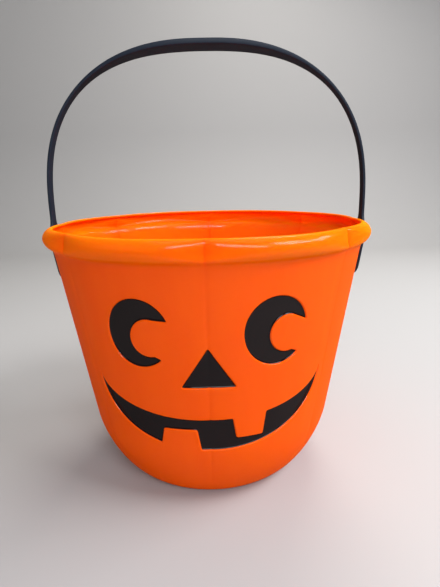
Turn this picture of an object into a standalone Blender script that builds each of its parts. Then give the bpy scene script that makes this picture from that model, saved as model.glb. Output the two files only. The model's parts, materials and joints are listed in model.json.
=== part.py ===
"""Trick-or-treat bucket: a moulded pail with eight pumpkin lobes and a rolled-out rim.

A jack-o'-lantern face is sunk into the wall and painted, and a strap handle swings on two snap studs.
Metres, +Z up, origin at the middle of the base. The face looks along -Y and the studs lie on the X axis.
"""

import math

import bmesh
import bpy
from mathutils import Vector

# Pail: outer skin over the crests of the lobes.
BASE_RADIUS = 0.0565
TURN_RADIUS = 0.0825
TURN_HEIGHT = 0.0409
TURN_FULLNESS = 1.173
NECK_RADIUS = 0.1001
NECK_HEIGHT = 0.1543
RIM_SWELL = 0.0055
RIM_FULLNESS = 0.55
RIM_BAND = 0.0121
WALL = 0.0018

# Lobes, and the valleys between them.
LOBES = 8
WIDER_LOBES = math.radians(5)
BODY_VALLEY = 0.0010
RIM_VALLEY = 0.0052
LIP_VALLEY = 0.0026
BODY_CRISPNESS = 0.35
RIM_CRISPNESS = 0.85

# Sunk and painted face. Places are (distance round the wall, height).
RECESS = 0.0016
PAINT = 0.0004
EYE_WIDTH = 0.0372
EYE_HEIGHT = 0.0392
EYE_LEVEL = 0.1164
EYE_SPREAD = 0.0377
EYE_BITE_RADIUS = 0.0109
EYE_BITE_SHIFT = 0.0064
EYE_BITE_DROP = 0.0022
BITE_LOWER_ANGLE = math.radians(285)
BITE_UPPER_ANGLE = math.radians(75)
LEFT_HORN_ANGLE = math.radians(24)
RIGHT_HORN_ANGLE = math.radians(12)
LOWER_HORN_ANGLE = math.radians(-47)
NOSE_WIDTH = 0.0298
NOSE_HEIGHT = 0.0234
NOSE_LEVEL = 0.0859
MOUTH_WIDTH = 0.1436
MOUTH_LEVEL = 0.0866
UPPER_LIP_SAG = 0.0218
LOWER_LIP_SAG = 0.0421
LOWER_TOOTH_PLACE = -0.0170
LOWER_TOOTH_WIDTH = 0.0235
LOWER_TOOTH_HEIGHT = 0.0127
UPPER_TOOTH_PLACE = 0.0226
UPPER_TOOTH_WIDTH = 0.0198
UPPER_TOOTH_HEIGHT = 0.0139
TOOTH_TAPER = 0.0020

# Strap handle.
PIVOT_DROP = 0.0305
SHANK_LENGTH = 0.0390
ARCH_RISE = 0.0990
ARCH_SQUARENESS = 2.4
STRAP_WIDTH = 0.0070
STRAP_THICKNESS = 0.0020
GRIP_LENGTH = 0.1120
GRIP_WIDTH = 0.0175
GRIP_THICKNESS = 0.0034
PADDLE_WIDTH = 0.0160
PADDLE_LENGTH = 0.0210
SHOULDER_LENGTH = 0.0130
EDGE_CHAMFER = 0.0006
STUD_RADIUS = 0.0030
STUD_BOSS_RADIUS = 0.0055
STUD_HEAD_RADIUS = 0.0042
STUD_HEAD_LENGTH = 0.0032
STUD_TIP_LENGTH = 0.0019
STUD_TIP_RADIUS = 0.0021

# Fits.
GAP = 0.0003
SWING_CLEARANCE = 0.0004

# Facets.
STEPS_PER_LOBE = 10
VALLEY_CROWDING = 0.55
CORNER_ROWS = 8
TAPER_ROWS = 4
BAND_ROWS = 8
FACE_SLICE = 0.007
LIP_STEPS = 14
EYE_STEPS = 20
STRAP_STATIONS = 34
PADDLE_END_STATIONS = 6
STUD_STEPS = 20
CURVE_SAMPLES = 180
TURN_REFINEMENTS = 8
SAME_POINT = 0.00001

RIM_TOP = NECK_HEIGHT + RIM_BAND
RIM_RADIUS = NECK_RADIUS + RIM_SWELL
PIVOT_HEIGHT = RIM_TOP - PIVOT_DROP

ORANGE = (0.82, 0.115, 0.004, 1.0)
BLACK_ENAMEL = (0.012, 0.007, 0.008, 1.0)
CHARCOAL = (0.021, 0.023, 0.034, 1.0)


def clear_scene():
    for obj in list(bpy.data.objects):
        bpy.data.objects.remove(obj)


def material(name, colour, roughness):
    made = bpy.data.materials.new(name)
    made.use_nodes = True
    shader = made.node_tree.nodes["Principled BSDF"]
    shader.inputs["Base Color"].default_value = colour
    shader.inputs["Roughness"].default_value = roughness
    shader.inputs["Metallic"].default_value = 0.0
    made.diffuse_color = colour
    return made


def add_object(name, bm, finish=None):
    bmesh.ops.recalc_face_normals(bm, faces=bm.faces)
    mesh = bpy.data.meshes.new(name)
    bm.to_mesh(mesh)
    bm.free()
    mesh.shade_smooth()
    mesh.set_sharp_from_angle(angle=math.radians(35))
    obj = bpy.data.objects.new(name, mesh)
    bpy.context.scene.collection.objects.link(obj)
    if finish:
        mesh.materials.append(finish)
    return obj


def make_helper(obj):
    obj.hide_render = True
    obj.display_type = "WIRE"
    return obj


def add_boolean(obj, operation, helper):
    modifier = obj.modifiers.new(operation.title(), "BOOLEAN")
    modifier.operation = operation
    modifier.solver = "EXACT"
    modifier.object = helper


def smooth_step(share):
    share = min(1.0, max(0.0, share))
    return share * share * (3 - 2 * share)


# Pail


def taper_radius(height):
    """Radius of the straight taper at this height, or of its line carried on below the foot's curve."""
    rise = (height - TURN_HEIGHT) / (NECK_HEIGHT - TURN_HEIGHT)
    return TURN_RADIUS + (NECK_RADIUS - TURN_RADIUS) * rise


def corner_point(turn):
    """Outer point of the rounded foot: turn 0 is where the taper starts, a quarter turn is on the base.

    The curve falls away from the taper's line, so that it leaves it without a kink.
    """
    height = TURN_HEIGHT * (1 - math.sin(turn) ** TURN_FULLNESS)
    fall = 1 - math.cos(turn) ** TURN_FULLNESS
    return taper_radius(height) - (taper_radius(0.0) - BASE_RADIUS) * fall, height


def wall_radius(height):
    """Outer radius over the lobes' crests, from the base up to the neck under the rim."""
    if height >= TURN_HEIGHT:
        return taper_radius(height)
    sine = (1 - max(height, 0.0) / TURN_HEIGHT) ** (1 / TURN_FULLNESS)
    return corner_point(math.asin(min(1.0, sine)))[0]


def band_share(height):
    return min(1.0, max(0.0, (height - NECK_HEIGHT) / RIM_BAND))


def band_radius(height):
    return NECK_RADIUS + RIM_SWELL * math.sin(math.pi * band_share(height)) ** RIM_FULLNESS


def valley_depth(height):
    """How deep the valleys between the lobes are: they fade out in the foot and deepen in the rim."""
    share = band_share(height)
    if share == 0.0:
        return BODY_VALLEY * smooth_step(height / TURN_HEIGHT)
    even = BODY_VALLEY + (LIP_VALLEY - BODY_VALLEY) * share
    return even + (RIM_VALLEY - (BODY_VALLEY + LIP_VALLEY) / 2) * math.sin(math.pi * share)


def angle_of(lobe_turn):
    """Angle from the front of a place in an even ring of lobes: those at the front and the back are wider."""
    return lobe_turn + WIDER_LOBES * math.sin(2 * lobe_turn)


def lobe_turn_at(angle):
    """The other way round, from the angle to the place in an even ring of lobes."""
    turn = angle
    for _ in range(TURN_REFINEMENTS):
        turn = angle - WIDER_LOBES * math.sin(2 * turn)
    return turn


def valley_at(angle, height):
    """Inward shift of the skin at this angle from the front: nothing on a crest, the full depth in a valley."""
    share = band_share(height)
    crispness = BODY_CRISPNESS + (RIM_CRISPNESS - BODY_CRISPNESS) * smooth_step(2 * share)
    return valley_depth(height) * (1 - abs(math.sin(LOBES * lobe_turn_at(angle) / 2)) ** crispness)


def outer_profile():
    points = [(0.0, 0.0)]
    for row in range(CORNER_ROWS, -1, -1):
        points.append(corner_point(math.pi / 2 * row / CORNER_ROWS))
    for row in range(1, TAPER_ROWS):
        height = TURN_HEIGHT + (NECK_HEIGHT - TURN_HEIGHT) * row / TAPER_ROWS
        points.append((wall_radius(height), height))
    for row in range(BAND_ROWS + 1):
        height = NECK_HEIGHT + RIM_BAND * row / BAND_ROWS
        points.append((band_radius(height), height))
    return points


def inner_profile(outer):
    """The outer profile moved in by the wall, square to the skin. The lip and the floor stay level."""
    points = [(0.0, WALL)]
    for before, here, after in zip(outer, outer[1:], outer[2:]):
        along = (Vector(after) - Vector(here)).normalized() + (Vector(here) - Vector(before)).normalized()
        along.normalize()
        points.append((here[0] - WALL * along.y, here[1] + WALL * along.x))
    lip_radius, lip_height = outer[-1]
    points.append((lip_radius - WALL, lip_height))
    return points


def spun_shell():
    """The wall's closed profile turned round the axis, with the valleys pressed into both skins alike."""
    outer = outer_profile()
    bm = bmesh.new()
    outer_height = bm.verts.layers.float.new("outer_height")
    verts = []
    for skin in (zip(outer, outer), reversed(list(zip(inner_profile(outer), outer)))):
        for (radius, height), (_, level) in skin:
            verts.append(bm.verts.new((0.0, -radius, height)))
            verts[-1][outer_height] = level
    edges = [bm.edges.new(pair) for pair in zip(verts, verts[1:])]
    bmesh.ops.spin(
        bm,
        geom=verts + edges,
        axis=(0, 0, 1),
        cent=(0, 0, 0),
        steps=LOBES * STEPS_PER_LOBE,
        angle=math.tau,
    )
    bmesh.ops.remove_doubles(bm, verts=bm.verts, dist=SAME_POINT)
    for vert in bm.verts:
        radius = math.hypot(vert.co.x, vert.co.y)
        if radius < WALL:
            continue
        even = math.atan2(vert.co.x, -vert.co.y)
        angle = angle_of(even - VALLEY_CROWDING * math.sin(LOBES * even) / LOBES)
        radius -= valley_at(angle, vert[outer_height])
        vert.co.x = radius * math.sin(angle)
        vert.co.y = -radius * math.cos(angle)
    return bm


# Face


def arc_points(centre, half_width, half_height, start, end, steps):
    for step in range(steps + 1):
        angle = start + (end - start) * step / steps
        yield centre[0] + half_width * math.cos(angle), centre[1] + half_height * math.sin(angle)


def eye_outline(place, horn_angle):
    """A crescent that opens to the right: the outer oval, then back round the bite."""
    centre = (place, EYE_LEVEL)
    bite = (place + EYE_BITE_SHIFT, EYE_LEVEL - EYE_BITE_DROP)
    oval = arc_points(
        centre, EYE_WIDTH / 2, EYE_HEIGHT / 2, horn_angle, LOWER_HORN_ANGLE + math.tau, EYE_STEPS
    )
    back = arc_points(
        bite, EYE_BITE_RADIUS, EYE_BITE_RADIUS, BITE_LOWER_ANGLE, BITE_UPPER_ANGLE, EYE_STEPS // 2
    )
    return list(oval) + list(back)


def nose_outline():
    return [(-NOSE_WIDTH / 2, NOSE_LEVEL), (NOSE_WIDTH / 2, NOSE_LEVEL), (0.0, NOSE_LEVEL + NOSE_HEIGHT)]


def lip_height(place, sag):
    """Height of a lip, a hanging half oval, at this distance from the middle."""
    share = min(1.0, abs(2 * place / MOUTH_WIDTH))
    return MOUTH_LEVEL - sag * math.sqrt(1 - share * share)


def lip_stretch(start, end, sag):
    """Points along a lip, even in the oval's own angle so that they crowd towards the corners."""
    first = math.asin(min(1.0, max(-1.0, 2 * start / MOUTH_WIDTH)))
    last = math.asin(min(1.0, max(-1.0, 2 * end / MOUTH_WIDTH)))
    steps = max(2, round(LIP_STEPS * abs(last - first) / math.pi))
    for step in range(steps + 1):
        place = MOUTH_WIDTH / 2 * math.sin(first + (last - first) * step / steps)
        yield place, lip_height(place, sag)


def mouth_outline():
    """Right along the lower lip, over its tooth, and back left along the upper lip, round its tooth."""
    corner = MOUTH_WIDTH / 2
    low_left = LOWER_TOOTH_PLACE - LOWER_TOOTH_WIDTH / 2
    low_right = LOWER_TOOTH_PLACE + LOWER_TOOTH_WIDTH / 2
    low_top = lip_height(LOWER_TOOTH_PLACE, LOWER_LIP_SAG) + LOWER_TOOTH_HEIGHT
    high_left = UPPER_TOOTH_PLACE - UPPER_TOOTH_WIDTH / 2
    high_right = UPPER_TOOTH_PLACE + UPPER_TOOTH_WIDTH / 2
    high_end = lip_height(UPPER_TOOTH_PLACE, UPPER_LIP_SAG) - UPPER_TOOTH_HEIGHT
    points = list(lip_stretch(-corner, low_left, LOWER_LIP_SAG))
    points += [(low_left + TOOTH_TAPER, low_top), (low_right - TOOTH_TAPER, low_top)]
    points += list(lip_stretch(low_right, corner, LOWER_LIP_SAG))
    points += list(lip_stretch(corner, high_right, UPPER_LIP_SAG))[1:]
    points += [(high_right - TOOTH_TAPER, high_end), (high_left + TOOTH_TAPER, high_end)]
    points += list(lip_stretch(high_left, -corner, UPPER_LIP_SAG))[:-1]
    return points


def offset_outline(points, distance):
    """The closed outline, which runs anticlockwise, moved outwards. Sharp corners move at most twice as far."""
    moved = []
    for index, here in enumerate(points):
        into = (Vector(here) - Vector(points[index - 1])).normalized()
        out = (Vector(points[(index + 1) % len(points)]) - Vector(here)).normalized()
        side = Vector((into.y, -into.x)) + Vector((out.y, -out.x))
        side.normalize()
        reach = distance / max(0.5, side.dot(Vector((out.y, -out.x))))
        moved.append((here[0] + side.x * reach, here[1] + side.y * reach))
    return moved


def on_wall(place, height, out):
    """The point at this distance round the wall from the front middle, at this height, out from the crests."""
    radius = wall_radius(height)
    angle = place / radius
    return Vector(((radius + out) * math.sin(angle), -(radius + out) * math.cos(angle), height))


def cut_lines(low, high, pitch):
    first = math.ceil(low / pitch)
    return [pitch * number for number in range(first, math.floor(high / pitch) + 1)]


def add_wall_plate(bm, outline, back, front):
    """A closed plate with this outline, bent round the wall between two distances from it."""
    flat = bmesh.new()
    flat.faces.new([flat.verts.new((place, height, 0.0)) for place, height in outline])
    places = [place for place, _ in outline]
    heights = [height for _, height in outline]
    cuts = [((1, 0, 0), (line, 0, 0)) for line in cut_lines(min(places), max(places), FACE_SLICE)]
    levels = cut_lines(min(heights), min(max(heights), TURN_HEIGHT + FACE_SLICE / 2), FACE_SLICE / 2)
    cuts += [((0, 1, 0), (0, line, 0)) for line in levels]
    for normal, through in cuts:
        everything = flat.verts[:] + flat.edges[:] + flat.faces[:]
        bmesh.ops.bisect_plane(flat, geom=everything, dist=SAME_POINT, plane_co=through, plane_no=normal)
    bmesh.ops.triangulate(flat, faces=flat.faces)
    backs = {vert: bm.verts.new(on_wall(vert.co.x, vert.co.y, back)) for vert in flat.verts}
    fronts = {vert: bm.verts.new(on_wall(vert.co.x, vert.co.y, front)) for vert in flat.verts}
    for face in flat.faces:
        bm.faces.new([fronts[vert] for vert in face.verts])
        bm.faces.new([backs[vert] for vert in reversed(face.verts)])
    for edge in flat.edges:
        if len(edge.link_faces) == 1:
            one, two = edge.verts
            bm.faces.new([fronts[one], fronts[two], backs[two], backs[one]])
    flat.free()


def face_outlines():
    return {
        "left_eye": eye_outline(-EYE_SPREAD, LEFT_HORN_ANGLE),
        "right_eye": eye_outline(EYE_SPREAD, RIGHT_HORN_ANGLE),
        "nose": nose_outline(),
        "mouth": mouth_outline(),
    }


def face_helper(name, spread, back, front):
    bm = bmesh.new()
    for outline in face_outlines().values():
        add_wall_plate(bm, offset_outline(outline, spread), back, front)
    return make_helper(add_object(name, bm))


def make_face_paint(finish):
    for feature, outline in face_outlines().items():
        bm = bmesh.new()
        seat = -RECESS + GAP
        add_wall_plate(bm, offset_outline(outline, -GAP), seat, seat + PAINT)
        add_object(feature + "_paint", bm, finish)


def make_shell(finish):
    shell = add_object("bucket_shell", spun_shell(), finish)
    add_boolean(shell, "UNION", face_helper("face_backing", WALL, -RECESS - WALL, -WALL / 2))
    add_boolean(shell, "DIFFERENCE", face_helper("face_cutter", 0.0, -RECESS, RIM_SWELL))
    add_boolean(shell, "DIFFERENCE", stud_hole_cutter())
    return shell


# Handle


def rim_reach():
    """The furthest that any part of the rim reaches along X."""
    reach = 0.0
    for row in range(2 * BAND_ROWS + 1):
        height = NECK_HEIGHT + RIM_BAND * row / (2 * BAND_ROWS)
        for number in range(CURVE_SAMPLES + 1):
            angle = math.pi / 2 * number / CURVE_SAMPLES
            reach = max(reach, (band_radius(height) - valley_at(angle, height)) * math.sin(angle))
    return reach


def strap_side():
    """How far out the strap's middle plane runs past the rim."""
    return rim_reach() + SWING_CLEARANCE + STRAP_THICKNESS / 2


def paddle_place(height):
    """How far out the paddle's middle plane is at this height: below the rim it leans in like the wall."""
    return strap_side() - taper_radius(NECK_HEIGHT) + taper_radius(height)


def strap_path():
    """Half of the strap's middle line, from the top of the arch to below the stud, as (x, z) points."""
    side = strap_side()
    spring = PIVOT_HEIGHT + SHANK_LENGTH
    points = []
    for step in range(CURVE_SAMPLES + 1):
        angle = math.pi / 2 * (1 - step / CURVE_SAMPLES)
        x = side * math.cos(angle) ** (2 / ARCH_SQUARENESS)
        points.append(Vector((x, spring + ARCH_RISE * math.sin(angle) ** (2 / ARCH_SQUARENESS))))
    points.append(Vector((side, NECK_HEIGHT)))
    lowest = PIVOT_HEIGHT - PADDLE_WIDTH
    points.append(Vector((paddle_place(lowest), lowest)))
    return points


def along_path(points, distance):
    """The point at this distance along the path, and the path's direction there."""
    for here, after in zip(points, points[1:]):
        length = (after - here).length
        if distance <= length or after is points[-1]:
            direction = (after - here) / length
            return here + direction * distance, direction
        distance -= length


def path_length(points, lowest):
    """Length of the path down to this height, which lies in its last stretch."""
    total = 0.0
    for here, after in zip(points[:-2], points[1:-1]):
        total += (after - here).length
    here, after = points[-2:]
    return total + (after - here).length * (here.y - lowest) / (here.y - after.y)


def strap_section(distance, pivot_distance):
    """Half width and half thickness of the strap at this distance from the top of the arch."""
    to_strap = smooth_step((distance - GRIP_LENGTH / 2) / SHOULDER_LENGTH)
    paddle_start = pivot_distance - PADDLE_LENGTH
    to_paddle = smooth_step((distance - paddle_start) / SHOULDER_LENGTH + 1)
    width = GRIP_WIDTH + (STRAP_WIDTH - GRIP_WIDTH) * to_strap
    width += (PADDLE_WIDTH - STRAP_WIDTH) * to_paddle
    thickness = GRIP_THICKNESS + (STRAP_THICKNESS - GRIP_THICKNESS) * to_strap
    past = distance - pivot_distance
    if past > 0:
        width *= math.sqrt(max(0.0, 1 - (2 * past / PADDLE_WIDTH) ** 2))
    return width / 2, thickness / 2


def strap_ring(points, distance, side, pivot_distance):
    """Eight corners round the strap: a rectangle with its long edges taken off."""
    centre, direction = along_path(points, distance)
    half_width, half_thickness = strap_section(distance, pivot_distance)
    half_width = max(half_width, EDGE_CHAMFER * 2)
    outward = Vector((-direction.y, direction.x))
    ring = []
    for width, thickness in (
        (half_width - EDGE_CHAMFER, half_thickness),
        (half_width, half_thickness - EDGE_CHAMFER),
        (half_width, EDGE_CHAMFER - half_thickness),
        (half_width - EDGE_CHAMFER, -half_thickness),
        (EDGE_CHAMFER - half_width, -half_thickness),
        (-half_width, EDGE_CHAMFER - half_thickness),
        (-half_width, half_thickness - EDGE_CHAMFER),
        (EDGE_CHAMFER - half_width, half_thickness),
    ):
        place = centre + outward * thickness
        ring.append(Vector((side * place.x, width, place.y)))
    return ring


def add_loft(bm, rings):
    loops = [[bm.verts.new(point) for point in ring] for ring in rings]
    for near, far in zip(loops, loops[1:]):
        for index in range(len(near)):
            bm.faces.new([near[index - 1], near[index], far[index], far[index - 1]])
    bm.faces.new(loops[0])
    bm.faces.new(reversed(loops[-1]))


def strap_mesh():
    """The strap from paddle to paddle. No ring stands at the very top, so the middle of the grip is flat."""
    points = strap_path()
    pivot_distance = path_length(points, PIVOT_HEIGHT)
    pitch = pivot_distance / (STRAP_STATIONS + 0.5)
    half = [pitch * (number + 0.5) for number in range(STRAP_STATIONS + 1)]
    half += [
        pivot_distance + PADDLE_WIDTH / 2 * math.sin(math.pi / 2 * number / PADDLE_END_STATIONS)
        for number in range(1, PADDLE_END_STATIONS + 1)
    ]
    rings = [strap_ring(points, distance, -1, pivot_distance) for distance in reversed(half)]
    rings += [strap_ring(points, distance, 1, pivot_distance) for distance in half]
    bm = bmesh.new()
    add_loft(bm, rings)
    return bm


def stud_profile():
    """Boss, neck and snap head of one stud, as (distance from the centre plane, radius)."""
    seat_angles = [math.pi / 2 + STUD_BOSS_RADIUS / NECK_RADIUS * share for share in (-1, -0.5, 0, 0.5, 1)]
    top = PIVOT_HEIGHT + STUD_BOSS_RADIUS
    bottom = PIVOT_HEIGHT - STUD_HEAD_RADIUS
    boss_face = max(wall_radius(top) - valley_at(angle, top) for angle in seat_angles) + GAP
    deepest = valley_at(math.pi / 2, bottom)
    head_face = wall_radius(bottom) - deepest - WALL - GAP
    tip = head_face - STUD_HEAD_LENGTH
    return [
        (paddle_place(PIVOT_HEIGHT), STUD_BOSS_RADIUS),
        (boss_face, STUD_BOSS_RADIUS),
        (boss_face, STUD_RADIUS),
        (head_face, STUD_RADIUS),
        (head_face, STUD_HEAD_RADIUS),
        (tip + STUD_TIP_LENGTH, STUD_HEAD_RADIUS),
        (tip, STUD_TIP_RADIUS),
    ]


def turned_on_x(bm, profile, side):
    """A solid of revolution about the X axis at the studs' height."""
    rings = []
    for distance, radius in profile:
        turns = [math.tau * number / STUD_STEPS for number in range(STUD_STEPS)]
        rings.append(
            [
                Vector((side * distance, radius * math.cos(turn), PIVOT_HEIGHT + radius * math.sin(turn)))
                for turn in turns
            ]
        )
    add_loft(bm, rings)


def stud_hole_cutter():
    """The holes run from the studs' tips out past the rim."""
    bm = bmesh.new()
    hole = STUD_RADIUS + GAP
    tip = stud_profile()[-1][0]
    for side in (-1, 1):
        turned_on_x(bm, [(tip, hole), (RIM_RADIUS, hole)], side)
    return make_helper(add_object("stud_hole_cutter", bm))


def make_handle(finish):
    """The strap with its two studs, moulded in one. Its origin is on the swing axis."""
    handle = add_object("handle_strap", strap_mesh(), finish)
    bm = bmesh.new()
    for side in (-1, 1):
        turned_on_x(bm, stud_profile(), side)
    add_boolean(handle, "UNION", make_helper(add_object("studs", bm)))
    pivot = Vector((0.0, 0.0, PIVOT_HEIGHT))
    for obj in (handle, bpy.data.objects["studs"]):
        for vert in obj.data.vertices:
            vert.co -= pivot
        obj.location = pivot
    return handle


def main():
    clear_scene()
    make_shell(material("orange_polypropylene", ORANGE, 0.3))
    make_face_paint(material("black_enamel", BLACK_ENAMEL, 0.15))
    make_handle(material("charcoal_polypropylene", CHARCOAL, 0.45))


main()
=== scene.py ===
"""Looks of the trick-or-treat bucket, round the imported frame.

It makes the moulded pail, its enamelled face and its strap.
"""

import json
import math

import bpy
import numpy as np
from mathutils import Matrix, Vector
from mathutils.geometry import delaunay_2d_cdt


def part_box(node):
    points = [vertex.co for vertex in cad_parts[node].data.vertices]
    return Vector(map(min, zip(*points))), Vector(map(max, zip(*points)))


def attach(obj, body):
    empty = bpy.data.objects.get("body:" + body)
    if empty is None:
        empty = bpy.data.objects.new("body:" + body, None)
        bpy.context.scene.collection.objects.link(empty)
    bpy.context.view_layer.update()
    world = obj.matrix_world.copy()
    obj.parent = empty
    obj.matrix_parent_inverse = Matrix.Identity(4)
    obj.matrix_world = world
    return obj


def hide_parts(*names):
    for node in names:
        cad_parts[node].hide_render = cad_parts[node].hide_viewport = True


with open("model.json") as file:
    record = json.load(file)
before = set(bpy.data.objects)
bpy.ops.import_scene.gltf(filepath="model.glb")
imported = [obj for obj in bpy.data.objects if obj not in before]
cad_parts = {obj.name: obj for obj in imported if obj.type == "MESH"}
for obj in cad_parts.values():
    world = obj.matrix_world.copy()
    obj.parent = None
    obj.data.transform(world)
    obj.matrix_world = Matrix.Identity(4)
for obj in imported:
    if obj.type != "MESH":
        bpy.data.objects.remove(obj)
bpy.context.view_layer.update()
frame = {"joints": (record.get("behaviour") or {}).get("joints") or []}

# Pail: outer skin over the crests of the lobes, in metres, as in the solids.
RIM_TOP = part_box("bucket_shell")[1].z
RIM_BAND = 0.0121
NECK_HEIGHT = RIM_TOP - RIM_BAND
NECK_RADIUS = 0.1001
RIM_SWELL = 0.0055
RIM_FULLNESS = 0.55
WALL = 0.0018
BASE_RADIUS = 0.0565
TURN_RADIUS = 0.0825
TURN_HEIGHT = 0.0409
TURN_FULLNESS = 1.173
LEAN = (NECK_RADIUS - TURN_RADIUS) / (NECK_HEIGHT - TURN_HEIGHT)
FOOT_DEPTH = TURN_RADIUS - LEAN * TURN_HEIGHT - BASE_RADIUS

# Lobes, and the valleys between them.
LOBES = 8
WIDER_LOBES = math.radians(5)
BODY_VALLEY = 0.0010
RIM_VALLEY = 0.0052
LIP_VALLEY = 0.0026
BODY_CRISPNESS = 0.35
RIM_CRISPNESS = 0.85
CREST_SPREAD = 0.3

# Sunk and enamelled face. Places are (distance round the wall, height).
RECESS = 0.0016
EYE_WIDTH = 0.0372
EYE_HEIGHT = 0.0392
EYE_LEVEL = 0.1164
EYE_SPREAD = 0.0377
EYE_BITE_RADIUS = 0.0109
EYE_BITE_SHIFT = 0.0064
EYE_BITE_DROP = 0.0022
BITE_LOWER_ANGLE = math.radians(285)
BITE_UPPER_ANGLE = math.radians(75)
LEFT_HORN_ANGLE = math.radians(24)
RIGHT_HORN_ANGLE = math.radians(12)
LOWER_HORN_ANGLE = math.radians(-47)
NOSE_WIDTH = 0.0298
NOSE_HEIGHT = 0.0234
NOSE_LEVEL = 0.0859
MOUTH_WIDTH = 0.1436
MOUTH_LEVEL = 0.0866
UPPER_LIP_SAG = 0.0218
LOWER_LIP_SAG = 0.0421
LOWER_TOOTH_PLACE = -0.0170
LOWER_TOOTH_WIDTH = 0.0235
LOWER_TOOTH_HEIGHT = 0.0127
UPPER_TOOTH_PLACE = 0.0226
UPPER_TOOTH_WIDTH = 0.0198
UPPER_TOOTH_HEIGHT = 0.0139
TOOTH_TAPER = 0.0020
CORNER_ROUND = 0.0013

# The sunk edge rounds over from EDGE_OUT outside the outline and meets the floor in a fillet, EDGE_IN inside.
EDGE_OUT = 0.0008
EDGE_IN = 0.0014
EDGE_DROP = 0.5
BRINK_POWER = 2.2
FILLET_POWER = 3.0
BACK_OUT = 0.0026
BACK_IN = 0.0009
ENAMEL_FILM = 0.00016
ENAMEL_EDGE = 0.00006
ENAMEL_LIFT = 0.00002
FILM_EDGE = 0.0005

# Strap handle. The grip keeps its full width for GRIP_PLAIN from the top of the arch, and narrows over
# GRIP_TAPER to the slim legs.
PIVOT_HEIGHT = frame["joints"][0]["pos_m"][2]
SHANK_LENGTH = 0.0390
ARCH_RISE = 0.0990
ARCH_SQUARENESS = 2.52
STRAP_WIDTH = 0.0070
STRAP_THICKNESS = 0.0020
STRAP_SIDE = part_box("handle_strap")[1].x - STRAP_THICKNESS / 2
GRIP_PLAIN = 0.0110
GRIP_TAPER = 0.0860
GRIP_WIDTH = 0.0170
GRIP_THICKNESS = 0.0034
PADDLE_WIDTH = 0.0160
PADDLE_LENGTH = 0.0210
SHOULDER_LENGTH = 0.0130
EDGE_ROUND = 0.0007
STUD_RADIUS = 0.0030
STUD_BOSS_RADIUS = 0.0055
STUD_HEAD_RADIUS = 0.0042
STUD_HEAD_LENGTH = 0.0032
STUD_TIP_LENGTH = 0.0019
STUD_TIP_RADIUS = 0.0021
STUD_GAP = 0.0003
STUD_EASE = 0.0004

# Fineness of the meshes.
LOBE_COLUMNS = 44
COLUMNS = LOBES * LOBE_COLUMNS
VALLEY_CROWDING = 0.55
CREASE_COLUMNS = 3
TURN_REFINEMENTS = 8
BASE_ROWS = 5
FOOT_ROWS = 26
TAPER_ROWS = 60
BAND_ROWS = 26
LIP_ROWS = 6
EASED_BELOW = 2
EASED_ABOVE = 6
EASE_PASSES = 8
OUTLINE_PITCH = 0.0009
SHARP_CORNER = math.radians(14)
CORNER_SHARE = 0.45
FACE_HALF_COLUMNS = 49
FACE_LOW = 0.0365
FACE_HIGH = 0.1425
HOLE_HALF_COLUMNS = 9
HOLE_HALF_HEIGHT = 0.0072
HOLE_SIDES = 32
ARCH_STEPS = 720
STRAP_STATIONS = 120
TIP_STATIONS = 16
RUN_STEP = 0.0012
STUD_SIDES = 48
STUD_TIP_ROWS = 6
SHARP_EDGE = math.radians(50)

# Rings of points round the outlines, and how far other points keep from them, in millimetres.
FACE_RINGS = (
    -1.8, -1.4, -1.05, -0.75, -0.5, -0.3, -0.15,
    0.13, 0.26, 0.4, 0.55, 0.7, 0.85, 1.3, 1.8, 2.3, 2.8,
)
HOLE_RINGS = (0.5, 1.1, 1.8)
CLEAR_OUTSIDE = 0.6
CLEAR_INSIDE = 0.5
CREASE_CLEAR = 0.25
RING_SLACK = 0.06
MM = 0.001


def smooth_step(share):
    share = np.clip(share, 0.0, 1.0)
    return share * share * (3 - 2 * share)


# Pail surface


def wall_radius(height):
    """Outer radius over the crests, from the base up to the neck, for a height or an array of them."""
    below = np.clip(1 - np.asarray(height, float) / TURN_HEIGHT, 0.0, 1.0)
    turn = np.arcsin(below ** (1 / TURN_FULLNESS))
    line = TURN_RADIUS + LEAN * (np.asarray(height, float) - TURN_HEIGHT)
    return line - FOOT_DEPTH * (1 - np.cos(turn) ** TURN_FULLNESS)


def wall_normal(height):
    """Outward direction of the skin in the (radius, height) plane."""
    below = np.clip(1 - np.asarray(height, float) / TURN_HEIGHT, 0.0, 1.0)
    turn = np.arcsin(below ** (1 / TURN_FULLNESS))
    slope = LEAN + FOOT_DEPTH / TURN_HEIGHT * np.tan(turn) ** (2 - TURN_FULLNESS)
    length = np.sqrt(1 + slope * slope)
    return 1 / length, -slope / length


def band_share(height):
    return np.clip((np.asarray(height, float) - NECK_HEIGHT) / RIM_BAND, 0.0, 1.0)


def valley_depth(height):
    """The valleys fade out in the foot and deepen in the rim."""
    share = band_share(height)
    body = BODY_VALLEY * smooth_step(np.asarray(height, float) / TURN_HEIGHT)
    even = BODY_VALLEY + (LIP_VALLEY - BODY_VALLEY) * share
    rim = even + (RIM_VALLEY - (BODY_VALLEY + LIP_VALLEY) / 2) * np.sin(math.pi * share)
    return np.where(share > 0, rim, body)


def angle_of(lobe_turn):
    """Angle from the front of a place in an even ring of lobes: those at the front and the back are wider."""
    return lobe_turn + WIDER_LOBES * np.sin(2 * lobe_turn)


def lobe_turn_at(angle):
    """The other way round, from the angle to the place in an even ring of lobes."""
    turn = angle
    for _ in range(TURN_REFINEMENTS):
        turn = angle - WIDER_LOBES * np.sin(2 * turn)
    return turn


def valley_at(angle, height):
    crispness = BODY_CRISPNESS + (RIM_CRISPNESS - BODY_CRISPNESS) * smooth_step(2 * band_share(height))
    return valley_depth(height) * (1 - np.abs(np.sin(LOBES * lobe_turn_at(angle) / 2)) ** crispness)


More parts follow.
